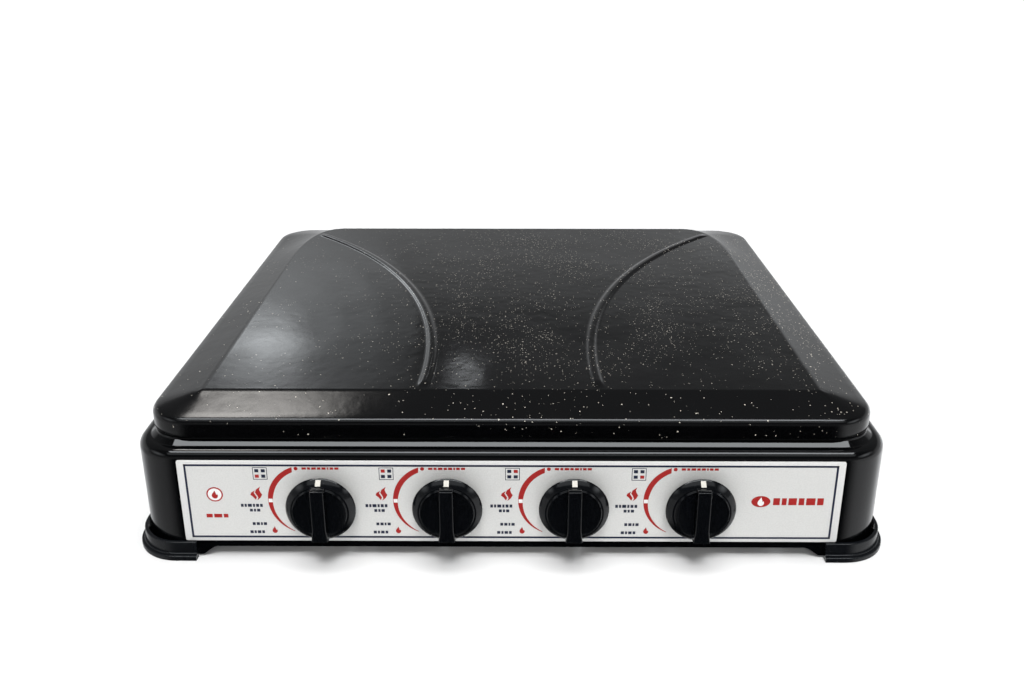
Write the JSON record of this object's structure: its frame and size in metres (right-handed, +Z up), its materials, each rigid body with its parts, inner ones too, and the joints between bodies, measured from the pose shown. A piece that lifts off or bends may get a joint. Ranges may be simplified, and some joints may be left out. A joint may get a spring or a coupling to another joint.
{
  "type": "camping stove",
  "caption": "Table-top gas camping stove: low pressed steel body on corner feet, hinged raised lid over the burners and pan supports, and a front panel with rotary push-in knobs.",
  "frame": {"origin": "on the floor under the middle of the stove, at the bottom centre of its box", "axes": "+Z up, +X to the right as seen by the cook, +Y from the knobs to the hinged rear"},
  "size_m": [0.583, 0.556, 0.1232],
  "materials": {
    "body_enamel": "gloss black vitreous enamel",
    "lid_enamel": "gloss black enamel with fine cream specks",
    "panel_print": "satin light grey printed plate",
    "knob_plastic": "gloss black phenolic plastic",
    "foot_plastic": "satin black plastic",
    "zinc_steel": "zinc-plated steel",
    "brass": "machined brass",
    "alloy": "cast and drawn aluminium",
    "cap_enamel": "satin black enamel",
    "wire_enamel": "black enamelled wire",
    "rubber": "black rubber"
  },
  "bodies": {
    "root": {"body_shell": "body_enamel", "hinge_brackets": "zinc_steel", "hinge_pins": "zinc_steel", "hinge_screws": "zinc_steel", "lid_buffers": "rubber", "control_panel": "panel_print", "tap_body_1": "brass", "tap_body_2": "brass", "tap_body_3": "brass", "tap_body_4": "brass", "tap_bonnets": "brass", "tap_springs": "zinc_steel", "gas_rail": "alloy", "rail_end_plug": "zinc_steel", "rail_brackets": "zinc_steel", "deck_screws": "zinc_steel", "supply_pipe": "alloy", "inlet_connector": "brass", "inlet_locknut": "brass", "feed_pipe_1": "alloy", "feed_pipe_2": "alloy", "feed_pipe_3": "alloy", "feed_pipe_4": "alloy", "pipe_nuts": "brass", "jet_holders": "alloy", "gas_jets": "brass", "burner_cup_1": "alloy", "burner_cup_2": "alloy", "burner_cup_3": "alloy", "burner_cup_4": "alloy", "burner_crown_1": "alloy", "burner_crown_2": "alloy", "burner_crown_3": "alloy", "burner_crown_4": "alloy", "burner_cap_1": "cap_enamel", "burner_cap_2": "cap_enamel", "burner_cap_3": "cap_enamel", "burner_cap_4": "cap_enamel", "pan_support_left": "wire_enamel", "pan_support_right": "wire_enamel", "foot_front_left": "foot_plastic", "foot_front_right": "foot_plastic", "foot_rear_left": "foot_plastic", "foot_rear_right": "foot_plastic", "foot_screws": "zinc_steel"},
    "lid": {"lid_shell": "lid_enamel", "lid_hinge_leaves": "zinc_steel", "leaf_screws": "zinc_steel"},
    "plug_1": {"tap_plug_1": "brass"},
    "knob_1": {"knob_1": "knob_plastic", "tap_spindle_1": "zinc_steel"},
    "plug_2": {"tap_plug_2": "brass"},
    "knob_2": {"knob_2": "knob_plastic", "tap_spindle_2": "zinc_steel"},
    "plug_3": {"tap_plug_3": "brass"},
    "knob_3": {"knob_3": "knob_plastic", "tap_spindle_3": "zinc_steel"},
    "plug_4": {"tap_plug_4": "brass"},
    "knob_4": {"knob_4": "knob_plastic", "tap_spindle_4": "zinc_steel"}
  },
  "joints": [
    {"name": "lid_hinge", "type": "hinge", "parent": "root", "child": "lid", "pos_m": [0, 0.252, 0.101], "axis": [-1, 0, 0], "range_deg": [0, 98]},
    {"name": "tap_turn_1", "type": "hinge", "parent": "root", "child": "plug_1", "pos_m": [-0.14025, -0.26, 0.049], "axis": [0, -1, 0], "range_deg": [0, 150]},
    {"name": "knob_push_1", "type": "slide", "parent": "plug_1", "child": "knob_1", "axis": [0, 1, 0], "range_m": [0, 0.003], "stiffness_N_per_m": 1000, "springref_m": -0.003},
    {"name": "tap_turn_2", "type": "hinge", "parent": "root", "child": "plug_2", "pos_m": [-0.04675, -0.26, 0.049], "axis": [0, -1, 0], "range_deg": [0, 150]},
    {"name": "knob_push_2", "type": "slide", "parent": "plug_2", "child": "knob_2", "axis": [0, 1, 0], "range_m": [0, 0.003], "stiffness_N_per_m": 1000, "springref_m": -0.003},
    {"name": "tap_turn_3", "type": "hinge", "parent": "root", "child": "plug_3", "pos_m": [0.04675, -0.26, 0.049], "axis": [0, -1, 0], "range_deg": [0, 150]},
    {"name": "knob_push_3", "type": "slide", "parent": "plug_3", "child": "knob_3", "axis": [0, 1, 0], "range_m": [0, 0.003], "stiffness_N_per_m": 1000, "springref_m": -0.003},
    {"name": "tap_turn_4", "type": "hinge", "parent": "root", "child": "plug_4", "pos_m": [0.14025, -0.26, 0.049], "axis": [0, -1, 0], "range_deg": [0, 150]},
    {"name": "knob_push_4", "type": "slide", "parent": "plug_4", "child": "knob_4", "axis": [0, 1, 0], "range_m": [0, 0.003], "stiffness_N_per_m": 1000, "springref_m": -0.003}
  ]
}
